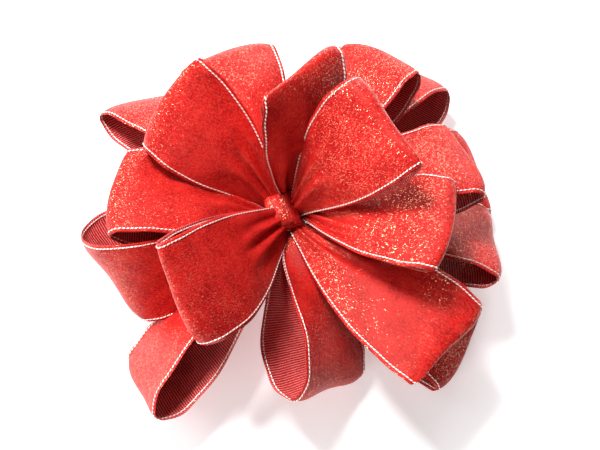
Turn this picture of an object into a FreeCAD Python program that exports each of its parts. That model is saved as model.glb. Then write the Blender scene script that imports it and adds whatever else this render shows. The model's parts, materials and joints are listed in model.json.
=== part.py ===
import FreeCAD, Part
import math
import os

# Pre-made gift bow: loops of wired-edge ribbon gathered into one pinch and held by a wire.
# Millimetres, +Z up, origin on the surface the bow lies on, under the middle of its outline.
# Everything is built about the pinch and moved there at the end.

# Ribbon: No. 40 wired-edge ribbon, 2 1/2 inch wide.
ribbon_width = 63.5
ribbon_thick = 0.5

# A wider ribbon is made up into a proportionally bigger bow: the sizes below that carry this
# ratio are written as they are for the 63.5 mm ribbon.
width_ratio = ribbon_width / 63.5

# Pinch, where the ribbon is gathered and tied.
lie_tilt = -3.5
root_radius = 11.0 * width_ratio
root_width = 5.5 * width_ratio
root_half_gap = 1.1 * width_ratio
core_clearance = 0.3
core_radius = root_radius - core_clearance

# How every loop opens from its root to its bend.
fan_power = 1.05
length_power = 0.78
arch_share = 0.25

# Centre fold, a tucked puff of the same ribbon that stands on the pinch between the loops.
fold_gap = 0.1
fold_radius = 3.5
fold_rise = core_radius + 1.3
fold_azimuth = 200.0
fold_elevation = 58.0

# Tie wire, 18 gauge florist's wire.
wire_diameter = 1.0
wire_fit = 0.02
twist_length = 9.0
tail_length = 60.0
tail_drop = 9.0
tail_gap = 0.5
tail_reach = 1.2
tail_azimuths = {"tie_wire_tail_back": 83.0, "tie_wire_tail_left": 168.0}

# Loops as azimuth, elevation and roll in degrees, length and bulge in mm, lean in degrees,
# and the shift of the root along the ribbon's width and across it in mm. The lengths, bulges
# and shifts are those of the 63.5 mm ribbon.
loops = {
    "lower_loop_back_left": (139, -4, 25, 131, 11.5, 13, 0.5, -4.5),
    "upper_loop_back_left": (146, 31, -49, 104, 13.5, -13, 1.5, 0.5),
    "lower_loop_back": (111, 4, 11, 120, 13.5, -5, -1, -2),
    "upper_loop_back": (82, 62, 56, 102, 9, -8.5, 0.5, -4.5),
    "middle_loop_back_right": (59, 14, -25, 118, 8.5, 3.5, 2, 2.5),
    "lower_loop_back_right": (54, -6.5, -11, 141, 11.5, 6, 4.5, -3),
    "crown_loop_right": (15, 59, 18, 107, 13, -6, 1.5, 4),
    "middle_loop_right": (11.5, 17, -17, 113, 10, -9.5, 4.5, 1),
    "lower_loop_right": (19.5, -10.5, -11, 131, 9.5, 2.5, 4, -4),
    "upper_loop_right": (-21, 33, -7, 112, 14, -11.5, 2.5, 1),
    "lower_loop_right_front": (-9, -0.5, -30, 126, 12.5, -5, 3.5, -2),
    "upper_loop_front_right": (-47, 14, -4, 133, 8.5, -6.5, -4.5, 2),
    "lower_loop_front_right": (-36, -14.5, -8, 135, 8, -4, 0, 4),
    "lower_loop_front": (-78, -8, -45, 109, 14.5, -10, -4.5, -2.5),
    "upper_loop_front_left": (-129, 29, -44, 109, 16, -3, 0, 1.5),
    "lower_loop_front_left": (-133, -10.5, 38, 134, 7, 12.5, -2, -5),
    "lower_loop_left": (-161, -6.5, -43, 116, 21, -14.5, 2, -4.5),
    "upper_loop_left": (178.5, 16.5, 8, 108, 8.5, 6, 3.5, -1),
}

steps_along = 36
steps_across = 6


def tilted(x, y, z):
    """The vector turned about X by the angle the bow leans back as it lies."""
    lean_back = math.radians(lie_tilt)
    return (
        x,
        y * math.cos(lean_back) - z * math.sin(lean_back),
        y * math.sin(lean_back) + z * math.cos(lean_back),
    )


def axes(azimuth, elevation, roll):
    """Unit vectors of a loop: outward, along the ribbon's width, and across the loop."""
    a = math.radians(azimuth)
    e = math.radians(elevation)
    r = math.radians(roll)
    out = tilted(math.cos(e) * math.cos(a), math.cos(e) * math.sin(a), math.sin(e))
    level = tilted(-math.sin(a), math.cos(a), 0.0)
    rise = tilted(-math.sin(e) * math.cos(a), -math.sin(e) * math.sin(a), math.cos(e))
    wide = tuple(math.cos(r) * level[i] + math.sin(r) * rise[i] for i in range(3))
    across = (
        out[1] * wide[2] - out[2] * wide[1],
        out[2] * wide[0] - out[0] * wide[2],
        out[0] * wide[1] - out[1] * wide[0],
    )
    return out, wide, across


def loop_point(loop, t, v):
    """Point of the loop's middle surface at fold angle t (-pi to pi) and width share v (-1 to 1)."""
    azimuth, elevation, roll, length, bulge, lean, root_side, root_across = loop
    length, bulge = length * width_ratio, bulge * width_ratio
    root_side, root_across = root_side * width_ratio, root_across * width_ratio
    out, wide, across = axes(azimuth, elevation, roll)
    share = math.cos(t / 2.0) ** 2
    side = math.sin(t / 2.0) / math.sqrt(math.sin(t / 2.0) ** 2 + 0.02)
    half = (root_width + (ribbon_width - root_width) * (1.0 - (1.0 - share) ** fan_power)) / 2.0
    arch = arch_share * 2.0 * half * math.sqrt(max(0.0, 0.375 * (ribbon_width / (2.0 * half) - 1.0)))
    along = root_radius + (length - root_radius) * share ** length_power
    along += math.tan(math.radians(lean)) * v * half * share
    depth = bulge * math.sin(t) * math.cos(t / 2.0) + root_half_gap * side * (1.0 - share)
    depth += arch * (1.0 - v * v) * side + root_across * (1.0 - share) ** 2
    breadth = v * half + root_side * (1.0 - share) ** 2
    return tuple(along * out[i] + breadth * wide[i] + depth * across[i] for i in range(3))


def loop_normal(loop, t, v):
    """Unit normal of the middle surface, from small steps along and across the ribbon."""
    h = 0.002
    t0 = max(-math.pi, t - h)
    t1 = min(math.pi, t + h)
    v0 = max(-1.0, v - h)
    v1 = min(1.0, v + h)
    p0 = loop_point(loop, t0, v)
    p1 = loop_point(loop, t1, v)
    q0 = loop_point(loop, t, v0)
    q1 = loop_point(loop, t, v1)
    du = [p1[i] - p0[i] for i in range(3)]
    dv = [q1[i] - q0[i] for i in range(3)]
    n = [
        du[1] * dv[2] - du[2] * dv[1],
        du[2] * dv[0] - du[0] * dv[2],
        du[0] * dv[1] - du[1] * dv[0],
    ]
    size = math.sqrt(n[0] ** 2 + n[1] ** 2 + n[2] ** 2)
    return [n[i] / size for i in range(3)]


def loop_surface(loop, offset):
    """Spline surface through the loop's points, moved by offset along the normal."""
    grid = []
    for i in range(steps_along + 1):
        t = -math.pi * 0.985 + 2.0 * math.pi * 0.985 * i / steps_along
        row = []
        for j in range(steps_across + 1):
            v = -1.0 + 2.0 * j / steps_across
            p = loop_point(loop, t, v)
            n = loop_normal(loop, t, v)
            row.append(
                FreeCAD.Vector(
                    p[0] + offset * n[0],
                    p[1] + offset * n[1],
                    p[2] + offset * n[2],
                )
            )
        grid.append(row)
    surface = Part.BSplineSurface()
    surface.interpolate(grid)
    return surface


def ribbon_loop(loop):
    """Closed thin band: two spline faces and the four narrow faces between their borders."""
    inner = loop_surface(loop, -ribbon_thick / 2.0)
    outer = loop_surface(loop, ribbon_thick / 2.0)
    u0, u1, v0, v1 = outer.bounds()
    faces = [inner.toShape(), outer.toShape()]
    for u in (u0, u1):
        faces.append(Part.makeRuledSurface(inner.uIso(u).toShape(), outer.uIso(u).toShape()))
    for v in (v0, v1):
        faces.append(Part.makeRuledSurface(inner.vIso(v).toShape(), outer.vIso(v).toShape()))
    shell = Part.makeShell(faces)
    shell.sewShape()
    band = Part.Solid(shell)
    if band.Volume < 0:
        band.reverse()
    return band


def pinch_core():
    """Gathered middle of the ribbon, grooved round its waist for the tie wire."""
    centre = FreeCAD.Vector(0, 0, 0)
    ball = Part.makeSphere(core_radius, centre)
    half = wire_diameter / 2.0 + wire_fit
    floor_radius = core_radius - wire_diameter - 0.1
    start = FreeCAD.Vector(0, -half, 0)
    disc = Part.makeCylinder(core_radius + 1.0, 2.0 * half, start, FreeCAD.Vector(0, 1, 0))
    hub = Part.makeCylinder(floor_radius, 2.0 * half, start, FreeCAD.Vector(0, 1, 0))
    return ball.cut(disc.cut(hub))


def tie_ring():
    """Turn of wire that cinches the pinch, seated in the groove."""
    seat_radius = core_radius - wire_diameter / 2.0 - 0.1 + wire_fit
    return Part.makeTorus(
        seat_radius, wire_diameter / 2.0, FreeCAD.Vector(0, 0, 0), FreeCAD.Vector(0, 1, 0)
    )


def neck_top():
    """Height of the twisted neck's upper end, just under the tie ring."""
    return -core_radius - 0.2


def tie_neck():
    """Twisted neck of the wire below the pinch, as wide as its two strands."""
    base = FreeCAD.Vector(0, 0, neck_top() - twist_length)
    return Part.makeCylinder(wire_diameter, twist_length, base, FreeCAD.Vector(0, 0, 1))


def tie_tail(azimuth):
    """Straight free end of the wire, leaving the neck's side and dropping slightly."""
    a = math.radians(azimuth)
    start_radius = wire_diameter + tail_gap
    z = neck_top() - twist_length + tail_reach
    start = FreeCAD.Vector(start_radius * math.cos(a), start_radius * math.sin(a), z)
    reach = math.sqrt(tail_length ** 2 - tail_drop ** 2)
    aim = FreeCAD.Vector(reach * math.cos(a), reach * math.sin(a), -tail_drop)
    return Part.makeCylinder(wire_diameter / 2.0, tail_length, start, aim)


def centre_fold():
    """Tucked puff of ribbon standing on the pinch between the upper loops."""
    out, wide, across = axes(fold_azimuth, fold_elevation, 0.0)
    centre = FreeCAD.Vector(0, 0, 0)
    top = FreeCAD.Vector(out[0] * fold_rise, out[1] * fold_rise, out[2] * fold_rise)
    puff = Part.makeSphere(fold_radius, top)
    return puff.cut(Part.makeSphere(core_radius + fold_gap, centre))


solids = {}
for name, loop in loops.items():
    solids[name] = ribbon_loop(loop)
solids["pinch_core"] = pinch_core()
solids["centre_fold"] = centre_fold()
solids["tie_wire_ring"] = tie_ring()
solids["tie_wire_neck"] = tie_neck()
for name, azimuth in tail_azimuths.items():
    solids[name] = tie_tail(azimuth)

outline = Part.makeCompound(list(solids.values())).BoundBox
to_table = FreeCAD.Vector(
    -(outline.XMin + outline.XMax) / 2.0, -(outline.YMin + outline.YMax) / 2.0, -outline.ZMin
)
print("pinch at", round(to_table.x, 3), round(to_table.y, 3), round(to_table.z, 3))

os.makedirs("parts", exist_ok=True)
for name, solid in solids.items():
    solid.translate(to_table)
    box = solid.BoundBox
    print(name, solid.isValid(), len(solid.Solids), round(solid.Volume, 1), round(box.ZMin, 2))
    solid.exportStep("parts/" + name + ".step")
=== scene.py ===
import bmesh
import bpy
import json
import math
import numpy as np
from collections import namedtuple
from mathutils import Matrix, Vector


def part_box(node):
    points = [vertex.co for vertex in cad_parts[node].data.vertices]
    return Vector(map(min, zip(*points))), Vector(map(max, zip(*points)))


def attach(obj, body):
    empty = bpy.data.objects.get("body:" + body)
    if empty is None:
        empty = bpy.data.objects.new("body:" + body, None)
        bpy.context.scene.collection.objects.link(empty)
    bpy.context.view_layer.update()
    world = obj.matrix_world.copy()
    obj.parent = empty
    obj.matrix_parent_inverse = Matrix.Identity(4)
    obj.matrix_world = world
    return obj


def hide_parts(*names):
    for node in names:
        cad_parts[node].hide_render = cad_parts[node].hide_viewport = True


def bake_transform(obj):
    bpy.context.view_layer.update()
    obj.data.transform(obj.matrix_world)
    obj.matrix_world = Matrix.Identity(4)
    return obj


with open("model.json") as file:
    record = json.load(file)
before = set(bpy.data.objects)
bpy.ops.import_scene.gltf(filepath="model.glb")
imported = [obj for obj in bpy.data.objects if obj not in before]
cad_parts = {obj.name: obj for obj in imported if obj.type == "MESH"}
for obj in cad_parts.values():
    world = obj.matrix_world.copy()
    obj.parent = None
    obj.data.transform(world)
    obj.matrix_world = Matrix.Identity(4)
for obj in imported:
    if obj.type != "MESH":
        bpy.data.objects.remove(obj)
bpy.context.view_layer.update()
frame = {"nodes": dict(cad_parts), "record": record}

# ---------------------------------------------------------------------------
# Ribbon loops. Each is a length of No. 40 wired-edge ribbon, 63.5 mm wide,
# folded back on itself and gathered into the pinch. Woven polyester with
# metallic threads; the hem wire keeps each loop open where it is bent.
# ---------------------------------------------------------------------------
ribbon_width = 63.5
ribbon_thick = 0.35
# the pinch's radius, and half the gap between a loop's two layers there, in mm
root_radius = 11.0
root_half_gap = 1.1
# how the loop's length and its arch across the ribbon grow from the root to the bend
length_power = 0.78
arch_share = 0.25
# share of the loop's depth that the pleats take, and of it that is loose and uneven
pleat_share = 0.65
slack_share = 0.08
# waves of the bend and of the hems, and how far a bend's two corners are drawn in, in mm
bend_wave = 1.2
hem_wave = 0.7
corner_draw = 3.8
# the bow leans back as it lies; a loop that lies on the table stays this far above it, in m
lie_tilt = math.radians(-3.5)
table_gap = 0.0006
pinch = np.array(frame["record"]["behaviour"]["joints"][0]["pos_m"])

# Directions in degrees, sizes in mm. length and bulge: how far the loop reaches and half its
# depth. lean: slant of its bend. root_side, root_across and root_width: where its gathered root
# lies and how wide it is. phase: where its pleats and waves fall. flare: how much wider one
# mouth is than the other. fan_power: how soon the ribbon spreads to its full width. slide: how
# far its two layers slip apart sideways.
Loop = namedtuple("Loop", "azimuth elevation roll length bulge lean root_side root_across "
                          "phase flare fan_power slide root_width")
loops = {
    "lower_loop_back_left": Loop(139, -4, 25, 131, 9.5, 13, 0.5, -4.5, 0.4, 0.3, 2.3, 0, 5.5),
    "upper_loop_back_left": Loop(146, 32.5, -38, 104, 8.5, -13, 1.5, 0.5, 1.3, 0.55, 2.6, -3, 12),
    "lower_loop_back": Loop(111, 4, 11, 120, 13, -5, -1, -2, 2.2, 0.0, 2.2, 0, 5.5),
    "upper_loop_back": Loop(82, 62, 56, 102, 8.5, -8.5, 0.5, -4.5, 3.4, -0.6, 2.7, 4, 7),
    "middle_loop_back_right": Loop(59, 14, -25, 118, 8.5, 3.5, 2, 2.5, 0.9, -0.3, 2.5, 0, 5.5),
    "lower_loop_back_right": Loop(54, -6.5, -11, 141, 12.5, 6, 4.5, -3, 4.1, -0.4, 2.3, 5, 5.5),
    "crown_loop_right": Loop(15, 59, 18, 107, 11, -6, -0.5, 4, 5.2, 0.4, 2.4, 0, 12),
    "middle_loop_right": Loop(11.5, 17.5, -17, 113, 9, -9.5, 4.5, 1, 2.8, -0.2, 2.6, 0, 8),
    "lower_loop_right": Loop(19.5, -10.5, -1, 131, 8.5, 2.5, 4, -4, 0.1, 0.4, 2.3, 0, 5.5),
    "upper_loop_right": Loop(-21, 33, -7, 112, 9, -11.5, 2.5, 1, 1.8, 0.25, 2.6, -3, 12),
    "lower_loop_right_front": Loop(-9, -0.5, -25, 126, 10.5, -5, 3.5, -2, 3.9, -0.2, 2.2, 0, 5.5),
    "upper_loop_front_right": Loop(-47, 14, -4, 133, 8, -6.5, -4.5, 2, 5.7, 0.75, 2.8, -3, 10),
    "lower_loop_front_right": Loop(-36, -14.5, -8, 135, 7, -4, 0, 4, 2.5, -0.5, 2.4, 0, 5.5),
    "lower_loop_front": Loop(-78, -8, -45, 109, 15, -10, -4.5, -2.5, 4.8, -0.3, 3.0, 0, 9),
    "upper_loop_front_left": Loop(-129, 29, -44, 109, 13, -3, 0, 1.5, 0.6, 0.35, 2.6, 0, 22),
    "lower_loop_front_left": Loop(-131, -10.5, 38, 138, 10.5, 12.5, -2, -5, 3.1, 0.7, 2.4, 0, 5.5),
    "lower_loop_left": Loop(-161, -5, -44, 116, 23, -14.5, 2, -4.5, 5.0, -0.5, 2.2, 3, 5.5),
    "upper_loop_left": Loop(178.5, 15, 10, 108, 8, 6, 3.5, -1, 1.1, 0.3, 3.0, 0, 10),
}


def srgb(code, alpha=1.0):
    """Linear colour of an sRGB hex code."""
    parts = [int(code[i:i + 2], 16) / 255 for i in (1, 3, 5)]
    return [p / 12.92 if p <= 0.04045 else ((p + 0.055) / 1.055) ** 2.4 for p in parts] + [alpha]


def node(tree, kind, settings=None, inputs=None):
    """Add one shader node with its settings. Each input is a plain value, a socket to link, or a
    node, which stands for its first output."""
    made = tree.nodes.new(kind)
    for key, value in (settings or {}).items():
        setattr(made, key, value)
    for key, value in (inputs or {}).items():
        if isinstance(value, bpy.types.Node):
            value = value.outputs[0]
        if isinstance(value, bpy.types.NodeSocket):
            tree.links.new(value, made.inputs[key])
        else:
            made.inputs[key].default_value = value
    return made


def new_material(name):
    """Empty node material, as (material, tree)."""
    made = bpy.data.materials.new(name)
    made.use_nodes = True
    made.node_tree.nodes.clear()
    return made, made.node_tree


def woven_ribbon(name, base, dark, rib_colour, glint, rib_pitch, ribs_run_along, rib_strength,
                 glitter_share):
    """Woven polyester ribbon with metallic yarn, on the ribbon laid flat, in mm: X across, Y along.

    The fibres give a soft red sheen. Colour runs from dark to base with a broad noise plus the
    yarn's slubs. Ribs are the fourth power of a sine every rib_pitch mm. Metallic yarn shows as
    short dashes, the cores of random cells, where the cell's chance plus the broad noise is high;
    each dash lies at its own slant, so that only some catch the light."""
    made, tree = new_material(name)
    flat = node(tree, "ShaderNodeUVMap", {"uv_map": "laid_flat"}).outputs["UV"]
    axes = node(tree, "ShaderNodeSeparateXYZ", inputs={"Vector": flat})
    across, along = axes.outputs["X"], axes.outputs["Y"]
    # ribs, a little unsteady, and the finer threads that cross them every 0.9 mm
    steady, crossing = (across, along) if ribs_run_along else (along, across)
    wobble = node(tree, "ShaderNodeTexNoise", {"noise_dimensions": "2D"},
                  {"Vector": flat, "Scale": 0.35, "Detail": 2.0, "Roughness": 0.5})
    shift = node(tree, "ShaderNodeMath", {"operation": "MULTIPLY"}, {0: wobble, 1: 0.6})
    bent = node(tree, "ShaderNodeMath", {"operation": "ADD"}, {0: steady, 1: shift})
    thread_height = []
    for place, pitch in ((bent, rib_pitch), (crossing, 0.9)):
        turn = node(tree, "ShaderNodeMath", {"operation": "MULTIPLY"}, {0: place, 1: 2 * math.pi / pitch})
        wave = node(tree, "ShaderNodeMath", {"operation": "SINE"}, {0: turn})
        halved = node(tree, "ShaderNodeMath", {"operation": "MULTIPLY"}, {0: wave, 1: 0.5})
        thread_height.append(node(tree, "ShaderNodeMath", {"operation": "ADD"}, {0: halved, 1: 0.5}))
    rib, cross = thread_height
    # broad unevenness of the cloth, and slubs in its yarn, about 0.9 mm wide and 2.2 mm long
    broad = node(tree, "ShaderNodeTexNoise", {"noise_dimensions": "2D"},
                 {"Vector": flat, "Scale": 0.06, "Detail": 3.0, "Roughness": 0.55})
    slub_at = node(tree, "ShaderNodeMapping", inputs={"Vector": flat, "Scale": (1.3, 0.5, 1.0)})
    slub = node(tree, "ShaderNodeTexNoise", {"noise_dimensions": "2D"},
                {"Vector": slub_at, "Scale": 0.9, "Detail": 5.0, "Roughness": 0.8})
    broad_tone = node(tree, "ShaderNodeMath", {"operation": "MULTIPLY"}, {0: broad, 1: 1.2})
    slub_tone = node(tree, "ShaderNodeMath", {"operation": "MULTIPLY"}, {0: slub, 1: 3.6})
    both_tones = node(tree, "ShaderNodeMath", {"operation": "ADD"}, {0: broad_tone, 1: slub_tone})
    tone = node(tree, "ShaderNodeMath", {"operation": "SUBTRACT", "use_clamp": True},
                {0: both_tones, 1: 1.85})
    cloth = node(tree, "ShaderNodeMix", {"data_type": "RGBA"},
                 {"Factor": tone, "A": srgb(dark), "B": srgb(base)})
    rib_top = node(tree, "ShaderNodeMath", {"operation": "POWER"}, {0: rib, 1: 4.0})
    rib_level = node(tree, "ShaderNodeMath", {"operation": "ADD"}, {0: broad, 1: 0.5})
    rib_share = node(tree, "ShaderNodeMath", {"operation": "MULTIPLY"}, {0: rib_level, 1: rib_strength})
    rib_cover = node(tree, "ShaderNodeMath", {"operation": "MULTIPLY"}, {0: rib_top, 1: rib_share})
    ribbed = node(tree, "ShaderNodeMix", {"data_type": "RGBA"},
                  {"Factor": rib_cover, "A": cloth.outputs["Result"], "B": srgb(rib_colour)})
    # relief of the threads
    rib_relief = node(tree, "ShaderNodeMath", {"operation": "MULTIPLY"}, {0: rib, 1: 0.6})
    cross_relief = node(tree, "ShaderNodeMath", {"operation": "MULTIPLY"}, {0: cross, 1: 0.4})
    relief = node(tree, "ShaderNodeMath", {"operation": "ADD"}, {0: rib_relief, 1: cross_relief})
    bump = node(tree, "ShaderNodeBump", inputs={"Height": relief, "Strength": 0.35, "Distance": 0.0002})
    # metallic yarn: cells about 0.45 mm wide and 0.9 mm long, thicker than the real yarn so they show
    cells_at = node(tree, "ShaderNodeMapping", inputs={"Vector": flat, "Scale": (2.2, 1.1, 1.0)})
    cells = node(tree, "ShaderNodeTexVoronoi", {"voronoi_dimensions": "2D", "feature": "F1"},
                 {"Vector": cells_at, "Scale": 1.0, "Randomness": 1.0})
    chance = node(tree, "ShaderNodeSeparateColor", inputs={"Color": cells.outputs["Color"]})
    above = node(tree, "ShaderNodeMath", {"operation": "SUBTRACT"}, {0: broad, 1: 0.5})
    crowd = node(tree, "ShaderNodeMath", {"operation": "MULTIPLY"}, {0: above, 1: 0.6})
    level = node(tree, "ShaderNodeMath", {"operation": "ADD"}, {0: chance, 1: crowd})
    lit = node(tree, "ShaderNodeMath", {"operation": "GREATER_THAN"}, {0: level, 1: 1.0 - glitter_share})
    core = node(tree, "ShaderNodeMath", {"operation": "LESS_THAN"}, {0: cells.outputs["Distance"], 1: 0.42})
    dash = node(tree, "ShaderNodeMath", {"operation": "MULTIPLY"}, {0: lit, 1: core})
    slant = node(tree, "ShaderNodeMapping",
                 inputs={"Vector": cells.outputs["Color"], "Location": (-0.5, -0.5, -0.5)})
    lean = node(tree, "ShaderNodeVectorMath", {"operation": "SCALE"}, {0: slant, "Scale": 0.75})
    leant = node(tree, "ShaderNodeVectorMath", {"operation": "ADD"}, {0: bump, 1: lean})
    facet = node(tree, "ShaderNodeVectorMath", {"operation": "NORMALIZE"}, {0: leant})
    fabric = node(tree, "ShaderNodeBsdfPrincipled", inputs={
        "Base Color": ribbed.outputs["Result"], "Normal": bump, "Roughness": 0.42, "Metallic": 0.0,
        "Specular IOR Level": 0.22, "Specular Tint": srgb("#FFB8B0"),
        "Sheen Weight": 0.04, "Sheen Roughness": 0.35, "Sheen Tint": srgb("#FF7A66")})
    yarn = node(tree, "ShaderNodeBsdfPrincipled", inputs={
        "Base Color": srgb(glint), "Normal": facet, "Roughness": 0.26, "Metallic": 0.0,
        "IOR": 2.6, "Specular Tint": srgb("#FFD2A6")})
    surface = node(tree, "ShaderNodeMixShader", inputs={"Fac": dash, 1: fabric, 2: yarn})
    node(tree, "ShaderNodeOutputMaterial", inputs={"Surface": surface})
    return made


# Outer face: warp ribs run along the ribbon. Real ones are too fine to show, so they're 0.9 mm apart.
satin_face = woven_ribbon("woven_ribbon_face", base="#C91C1B", dark="#780609", rib_colour="#DC3531",
                          glint="#D43C30", rib_pitch=0.9, ribs_run_along=True, rib_strength=0.25,
                          glitter_share=0.34)
# Inner face: weft floats show as pale pink ribs across the ribbon, 1.4 mm apart.
weft_back = woven_ribbon("woven_ribbon_back", base="#C41A20", dark="#86080F", rib_colour="#F2A5A2",
                         glint="#D04030", rib_pitch=1.4, ribs_run_along=False, rib_strength=0.75,
                         glitter_share=0.22)


def tilted(v):
    """The vector turned about X by the angle the bow leans back as it lies."""
    x, y, z = v
    return np.array([x, y * math.cos(lie_tilt) - z * math.sin(lie_tilt),
                     y * math.sin(lie_tilt) + z * math.cos(lie_tilt)])


def loop_axes(azimuth, elevation, roll):
    """Outward, width and across directions of a loop, from its three angles in degrees."""
    a, e, r = math.radians(azimuth), math.radians(elevation), math.radians(roll)
    out = tilted((math.cos(e) * math.cos(a), math.cos(e) * math.sin(a), math.sin(e)))
    level = tilted((-math.sin(a), math.cos(a), 0.0))
    rise = tilted((-math.sin(e) * math.cos(a), -math.sin(e) * math.sin(a), math.cos(e)))
    wide = math.cos(r) * level + math.sin(r) * rise
    return out, wide, np.cross(out, wide)


def loop_surface(loop, t, v):
    """Points, in mm from the pinch, at fold angle t (-pi to pi, 0 at the bend) and width share v
    (-1 to 1).

    The share cos squared of t/2 runs from 0 at the roots to 1 at the bend. Length grows as its
    power, width fans from the root to the full ribbon, and depth is the petal curve sin t times
    cos of t/2 with an arch across the ribbon. The flare makes the petal deeper towards one edge,
    and its mouth never closes fully at the other. The bend's corners are drawn in by the sixth
    power of v, the petal is pleated inwards near the root, and the wired edges wave a little."""
    out, wide, across = loop_axes(loop.azimuth, loop.elevation, loop.roll)
    phase = loop.phase
    share = np.cos(t / 2) ** 2
    side = np.sin(t / 2) / np.sqrt(np.sin(t / 2) ** 2 + 0.02)
    fan = 1 - (1 - share) ** loop.fan_power
    half = (loop.root_width + (ribbon_width - loop.root_width) * fan) / 2
    arch = arch_share * 2 * half * np.sqrt(np.maximum(0, 0.375 * (ribbon_width / (2 * half) - 1)))
    along = root_radius + (loop.length - root_radius) * share ** length_power
    along = along + math.tan(math.radians(loop.lean)) * v * half * share
    wave = bend_wave * np.sin(math.pi * v + phase) * share ** 2
    along = along + (wave - corner_draw * v ** 6) * share ** 4
    petal = loop.bulge * np.hypot(1 + loop.flare * v, 0.28) * np.sin(t) * np.cos(t / 2)
    depth = petal + root_half_gap * side * (1 - share) + arch * (1 - v * v) * side
    # pleats: three uneven valleys across the ribbon, deepest near the root and gone past the middle
    warped = v + 0.2 * np.sin(math.pi * v + phase) + 0.06 * np.sin(3 * t + phase)
    valley = np.sin(1.5 * math.pi * (warped + 1)) ** 2 * (0.7 + 0.3 * np.sin(2.6 * v + 2 * phase))
    fade = np.clip((0.5 - share) / 0.45, 0, 1)
    depth = depth * (1 - pleat_share * fade * fade * (3 - 2 * fade) * valley)
    # slack in the open part of the loop, and a gentle wave along the wired edges
    depth = depth * (1 + slack_share * np.sin(2.3 * t + phase) * np.cos(2.2 * v + 1.7 * phase))
    ripple = np.sin(9 * t + 2 * phase + 1.5 * np.sign(v))
    depth = depth + hem_wave * np.abs(v) ** 5 * ripple * np.sqrt(share) * side
    depth = depth + loop.root_across * (1 - share) ** 2
    breadth = v * half + loop.root_side * (1 - share) ** 2 + loop.slide * np.sin(t)
    return along[..., None] * out + breadth[..., None] * wide + depth[..., None] * across


def grid_mesh(name, points, flat, materials, flip=False):
    """Quad mesh over a grid of points (metres), with its laid-flat map (mm) and smooth faces. A
    face points along rows cross columns, or the other way if flipped."""
    rows, columns = points.shape[:2]
    index = np.arange(rows * columns).reshape(rows, columns)
    corners = [index[:-1, :-1], index[1:, :-1], index[1:, 1:], index[:-1, 1:]]
    if flip:
        corners = corners[::-1]
    faces = np.stack([c.ravel() for c in corners], axis=1)
    mesh = bpy.data.meshes.new(name)
    mesh.from_pydata(points.reshape(-1, 3).tolist(), [], faces.tolist())
    layer = mesh.uv_layers.new(name="laid_flat")
    layer.data.foreach_set("uv", flat.reshape(-1, 2)[faces.ravel()].astype(np.float32).ravel())
    mesh.polygons.foreach_set("use_smooth", np.ones(len(faces), bool))
    for material in materials:
        mesh.materials.append(material)
    mesh.update()
    made = bpy.data.objects.new(name, mesh)
    bpy.context.scene.collection.objects.link(made)
    return made


def on_table(points):
    """Points in metres, held table_gap above the table where a loop would lie lower."""
    return np.concatenate([points[..., :2], np.maximum(points[..., 2:], table_gap)], -1)


steps_along, steps_across = 181, 49
root_angle = math.pi * 0.985
fold = np.linspace(-root_angle, root_angle, steps_along)[:, None] * np.ones((1, steps_across))
width_share = np.linspace(-1, 1, steps_across)[None, :] * np.ones((steps_along, 1))
ribbon_pieces = {}
for name, loop in loops.items():
    points = loop_surface(loop, fold, width_share)
    steps = np.linalg.norm(np.diff(points, axis=0), axis=-1)
    run = np.concatenate([np.zeros((1, steps_across)), np.cumsum(steps, axis=0)])
    flat_along = run.mean(axis=1, keepdims=True) * np.ones((1, steps_across))
    # each loop is cut from another stretch of the ribbon, so its pattern starts elsewhere
    laid = np.stack([width_share * ribbon_width / 2, flat_along + 40 * loop.phase], -1)
    piece = grid_mesh("ribbon_" + name, on_table(points / 1000 + pinch), laid, [satin_face, weft_back],
                      flip=True)
    cloth = piece.modifiers.new("ribbon_thickness", "SOLIDIFY")
    cloth.thickness = ribbon_thick / 1000
    cloth.offset = 0.0
    cloth.material_offset = 1
    ribbon_pieces[name] = piece

# ---------------------------------------------------------------------------
# Edge cord. A fine wire inside each hem, overcast with bright metallic thread
# that shows as a twisted white line just inside the red selvage.
# ---------------------------------------------------------------------------
cord_radius = 0.36
cord_lift = 0.12
cord_inset = 2.2
stitch_pitch = 2.4


def metallic_thread():
    """Silver-white metallic overcast, a bright metal yarn. Stitches lean across the cord: pale where
    the sine of the slanted length is above -0.45, and rosy in the gaps, where the ribbon shows."""
    made, tree = new_material("metallic_overcast_thread")
    flat = node(tree, "ShaderNodeUVMap", {"uv_map": "laid_flat"})
    axes = node(tree, "ShaderNodeSeparateXYZ", inputs={"Vector": flat})
    lean = node(tree, "ShaderNodeMath", {"operation": "MULTIPLY"}, {0: axes.outputs["X"], 1: 0.4})
    slanted = node(tree, "ShaderNodeMath", {"operation": "ADD"}, {0: axes.outputs["Y"], 1: lean})
    turn = node(tree, "ShaderNodeMath", {"operation": "MULTIPLY"},
                {0: slanted, 1: 2 * math.pi / stitch_pitch})
    wave = node(tree, "ShaderNodeMath", {"operation": "SINE"}, {0: turn})
    stitch = node(tree, "ShaderNodeMath", {"operation": "GREATER_THAN"}, {0: wave, 1: -0.45})
    colour = node(tree, "ShaderNodeMix", {"data_type": "RGBA"},
                  {"Factor": stitch, "A": srgb("#B8473F"), "B": srgb("#FFF4EC")})
    thread = node(tree, "ShaderNodeBsdfPrincipled", inputs={
        "Base Color": colour.outputs["Result"], "Roughness": 0.38, "Metallic": 0.35,
        "Sheen Weight": 0.3})
    node(tree, "ShaderNodeOutputMaterial", inputs={"Surface": thread})
    return made


overcast = metallic_thread()


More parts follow.
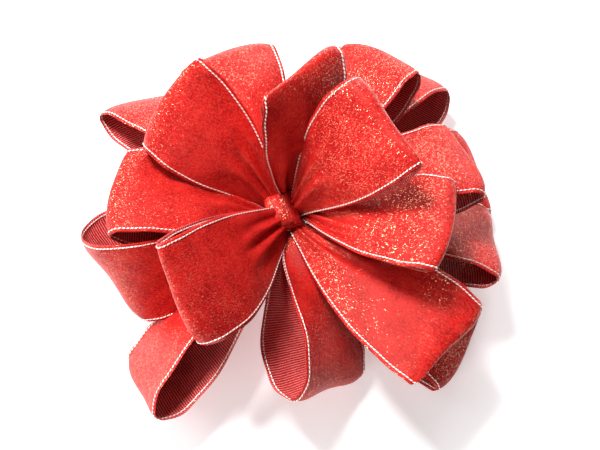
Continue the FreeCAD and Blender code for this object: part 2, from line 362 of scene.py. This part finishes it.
def twisted_tube(path, normal, radius, pitch, around=8, lobe=0.35):
    """Closed tube along a path, as (points, run along it, angles round it).

    Its section is a circle whose radius grows and shrinks by the lobe share twice a turn, and it
    turns once every two pitches, like two strands."""
    tangent = np.gradient(path, axis=0)
    tangent /= np.linalg.norm(tangent, axis=1, keepdims=True)
    normal = normal - (normal * tangent).sum(1, keepdims=True) * tangent
    normal /= np.linalg.norm(normal, axis=1, keepdims=True)
    binormal = np.cross(tangent, normal)
    run = np.concatenate([[0], np.cumsum(np.linalg.norm(np.diff(path, axis=0), axis=1))])
    angle = np.linspace(0, 2 * math.pi, around, endpoint=False)[None, :]
    turn = math.pi * run[:, None] / pitch
    r = radius * (1 + lobe * np.cos(2 * (angle - turn)))
    points = (path[:, None] + (r * np.cos(angle))[..., None] * normal[:, None]
              + (r * np.sin(angle))[..., None] * binormal[:, None])
    return points, run, angle


def tube_mesh(name, tubes, material):
    """Closed tubes, each (points in metres, run in mm, angles), capped and joined into one mesh."""
    verts, faces, flats, base = [], [], [], 0
    for points, run, angle in tubes:
        n, k = points.shape[:2]
        index = np.arange(n * k).reshape(n, k) + base
        beside = np.roll(index, -1, axis=1)
        quads = np.stack([index[:-1].ravel(), beside[:-1].ravel(), beside[1:].ravel(), index[1:].ravel()], 1)
        verts.append(points.reshape(-1, 3))
        faces += quads.tolist() + [index[0, ::-1].tolist(), index[-1].tolist()]
        flats.append(np.stack([np.repeat(angle, n, 0), np.repeat(run[:, None], k, 1)], -1).reshape(-1, 2))
        base += n * k
    mesh = bpy.data.meshes.new(name)
    mesh.from_pydata(np.concatenate(verts).tolist(), [], faces)
    corner_vertex = np.empty(len(mesh.loops), np.int32)
    mesh.loops.foreach_get("vertex_index", corner_vertex)
    layer = mesh.uv_layers.new(name="laid_flat")
    layer.data.foreach_set("uv", np.concatenate(flats)[corner_vertex].astype(np.float32).ravel())
    mesh.polygons.foreach_set("use_smooth", np.ones(len(mesh.polygons), bool))
    mesh.materials.append(material)
    mesh.update()
    made = bpy.data.objects.new(name, mesh)
    bpy.context.scene.collection.objects.link(made)
    return made


cord_steps = 420
cord_fold = np.linspace(-math.pi * 0.97, math.pi * 0.97, cord_steps)[:, None]
cord_height = ribbon_thick / 2 + cord_lift
for name, loop in loops.items():
    strands = []
    for edge in (-1, 1):
        v = np.full((cord_steps, 1), edge * (1 - 2 * cord_inset / ribbon_width))
        path = loop_surface(loop, cord_fold, v)[:, 0]
        beside = loop_surface(loop, cord_fold, v - edge * 0.02)[:, 0]
        normal = np.cross(np.gradient(path, axis=0), beside - path) * -edge
        normal /= np.linalg.norm(normal, axis=1, keepdims=True)
        for face in (1, -1):
            points, run, angle = twisted_tube(path + face * normal * cord_height, normal, cord_radius,
                                              stitch_pitch)
            strands.append((on_table(points / 1000 + pinch), run, angle))
    cord = tube_mesh("edge_cord_" + name, strands, overcast)
    # the ribbon and its cord are fixed where they stand, and the loop's part from model.glb is hidden
    ribbon = ribbon_pieces[name]
    for piece in (ribbon, cord):
        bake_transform(piece)
    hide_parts(name)

# ---------------------------------------------------------------------------
# Gathered pinch. The ribbon between the loops, squeezed into a small round
# bundle of pleats; the same woven ribbon, in deep shade between the loops.
# ---------------------------------------------------------------------------
bundle_radius = 10.4
bundle_pleat = 0.35


def bundle_surface(u, v):
    """Ball whose radius dips in pleats, the size of a sine of u, that run from pole to pole."""
    pleat = bundle_pleat * np.abs(np.sin(11 * u + 1.5 * np.sin(3 * v))) * np.sin(v)
    r = bundle_radius - pleat
    return np.stack([r * np.sin(v) * np.cos(u), r * np.sin(v) * np.sin(u), r * np.cos(v)], -1)


u = np.linspace(0, 2 * math.pi, 97)[:, None] * np.ones((1, 49))
v = np.linspace(0, math.pi, 49)[None, :] * np.ones((97, 1))
bundle = grid_mesh("gathered_pinch", bundle_surface(u, v) / 1000 + pinch, np.stack([u * 10, v * 10], -1),
                   [weft_back], flip=True)
# the seam and the two poles are closed by merging the points that meet there
sewn = bmesh.new()
sewn.from_mesh(bundle.data)
bmesh.ops.remove_doubles(sewn, verts=sewn.verts, dist=1e-7)
sewn.to_mesh(bundle.data)
sewn.free()
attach(bundle, "centre")
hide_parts("pinch_core")

# ---------------------------------------------------------------------------
# Centre fold. A short tuck of the same ribbon, turned over the pinch from the
# upper left to hide the tie, and held down by the loops round it.
# ---------------------------------------------------------------------------
tuck_half_width = 9.5
tuck_half_length = 11.5
tuck_rise = 19.5


def tuck_surface(u, v):
    """Band over the pinch, u across it and v along it, both -1 to 1. It rides tuck_rise mm over the
    middle, rolls under at both ends by high powers of v and at its sides by high powers of u, and
    two soft creases, a cosine of u, run along it."""
    out, wide, across = loop_axes(215, 66, 66)
    rise = (tuck_rise - 1.2 * v * v - 6 * v ** 8 - 5 * np.maximum(u, 0) ** 8 - 3 * np.minimum(u, 0) ** 6
            - 0.4 * np.cos(5 * u + v))
    return (rise[..., None] * out + ((tuck_half_width - 0.6 * v) * u)[..., None] * wide
            + (tuck_half_length * v)[..., None] * across)


u = np.linspace(-1, 1, 41)[:, None] * np.ones((1, 33))
v = np.linspace(-1, 1, 33)[None, :] * np.ones((41, 1))
tuck = grid_mesh("centre_tuck", tuck_surface(u, v) / 1000 + pinch,
                 np.stack([u * tuck_half_width + 3, v * 12.5 + 5], -1), [satin_face])
thick = tuck.modifiers.new("ribbon_thickness", "SOLIDIFY")
thick.thickness = ribbon_thick / 1000
thick.offset = 0.0
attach(tuck, "centre")
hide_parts("centre_fold")

# ---------------------------------------------------------------------------
# Tie wire. Annealed 1 mm florist's wire: a turn round the pinch, a twisted
# neck under it, and two straight ends that fasten the bow.
# ---------------------------------------------------------------------------
wire_radius = 0.5
twist_pitch = 3.2
twist_steps = 120


def annealed_wire():
    """Bare steel wire, annealed dark: a dull grey metal, mottled by its scale about once a mm."""
    made, tree = new_material("annealed_steel_wire")
    place = node(tree, "ShaderNodeTexCoord").outputs["Object"]
    mottle = node(tree, "ShaderNodeTexNoise", inputs={"Vector": place, "Scale": 900.0, "Detail": 2.0})
    colour = node(tree, "ShaderNodeMix", {"data_type": "RGBA"},
                  {"Factor": mottle, "A": srgb("#3A3735"), "B": srgb("#5E5A55")})
    metal = node(tree, "ShaderNodeBsdfPrincipled", inputs={
        "Base Color": colour.outputs["Result"], "Roughness": 0.42, "Metallic": 1.0})
    node(tree, "ShaderNodeOutputMaterial", inputs={"Surface": metal})
    return made


wire_metal = annealed_wire()
for name in frame["nodes"]:
    if name.startswith("tie_wire"):
        steel = bpy.data.objects.get(name)
        steel.data.materials.clear()
        steel.data.materials.append(wire_metal)
low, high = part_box("tie_wire_neck")
neck_height = np.linspace(low[2], high[2], twist_steps) * 1000
strands = []
for start_angle in (0.0, math.pi):
    turn = start_angle + 2 * math.pi * (neck_height - neck_height[0]) / twist_pitch
    path = np.stack([wire_radius * np.cos(turn), wire_radius * np.sin(turn), neck_height], -1)
    path[:, :2] += pinch[:2] * 1000
    # a plain round strand, so its own twist doesn't show
    points, run, angle = twisted_tube(path, np.tile([1.0, 0, 0], (twist_steps, 1)), wire_radius, 50.0,
                                      around=10, lobe=0.0)
    strands.append((points / 1000, run, angle))
neck = tube_mesh("twisted_wire_neck", strands, wire_metal)
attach(neck, "centre")
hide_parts("tie_wire_neck")

# ---------------------------------------------------------------------------
# Table top, studio light and camera. A sheet of matt white paper under even
# light from a large window above and three weaker ones round the bow.
# ---------------------------------------------------------------------------
table_half = 3.0
edges = np.linspace(-table_half, table_half, 2)
table_corners = np.stack([*np.meshgrid(edges, edges, indexing="ij"), np.zeros((2, 2))], -1)
paper, tree = new_material("matt_white_paper")
# matt paper scatters the light evenly, and its own faint glow stands for the bright room
matt = node(tree, "ShaderNodeBsdfPrincipled", inputs={
    "Base Color": srgb("#F7F7F8"), "Roughness": 0.85, "Emission Color": (1, 1, 1, 1),
    "Emission Strength": 0.34})
node(tree, "ShaderNodeOutputMaterial", inputs={"Surface": matt})
table_top = grid_mesh("table_top", table_corners, np.zeros((2, 2, 2)), [paper])

world = bpy.data.worlds.new("studio")
world.use_nodes = True
world.node_tree.nodes["Background"].inputs["Color"].default_value = (1.0, 1.0, 1.0, 1)
world.node_tree.nodes["Background"].inputs["Strength"].default_value = 0.16
bpy.context.scene.world = world

# name, place in metres, power in watts and side in metres of each square soft light on the pinch
for name, place, power, side in (("window_above", (-0.4, 0.5, 1.2), 29, 0.35),
                                 ("window_back", (0.35, 1.2, 0.55), 11, 0.6),
                                 ("window_front", (-0.7, -0.9, 0.55), 7, 0.7),
                                 ("window_left", (-1.1, 0.35, 0.6), 13, 0.8)):
    light = bpy.data.lights.new(name, "AREA")
    light.energy, light.size = power, side
    lamp = bpy.data.objects.new(name, light)
    lamp.location = place
    lamp.rotation_euler = (Vector(pinch) - Vector(place)).to_track_quat("-Z", "Y").to_euler()
    bpy.context.scene.collection.objects.link(lamp)
bpy.context.scene.view_settings.view_transform = "Standard"

# the camera looks down at the pinch from 0.64 m in front, with a lens of about 63 mm
camera_elevation = math.radians(68.5)
camera_distance = 0.64
lens = bpy.data.cameras.new("camera")
lens.sensor_width = 36
lens.lens = 62.94
lens.shift_x, lens.shift_y = 0.016667, -0.016667
lens.clip_start = 0.01
camera = bpy.data.objects.new("camera", lens)
bpy.context.scene.collection.objects.link(camera)
toward = Vector((0, -math.cos(camera_elevation), math.sin(camera_elevation)))
camera.location = Vector(pinch) + camera_distance * toward
camera.rotation_euler = toward.to_track_quat("Z", "Y").to_euler()
bpy.context.scene.camera = camera
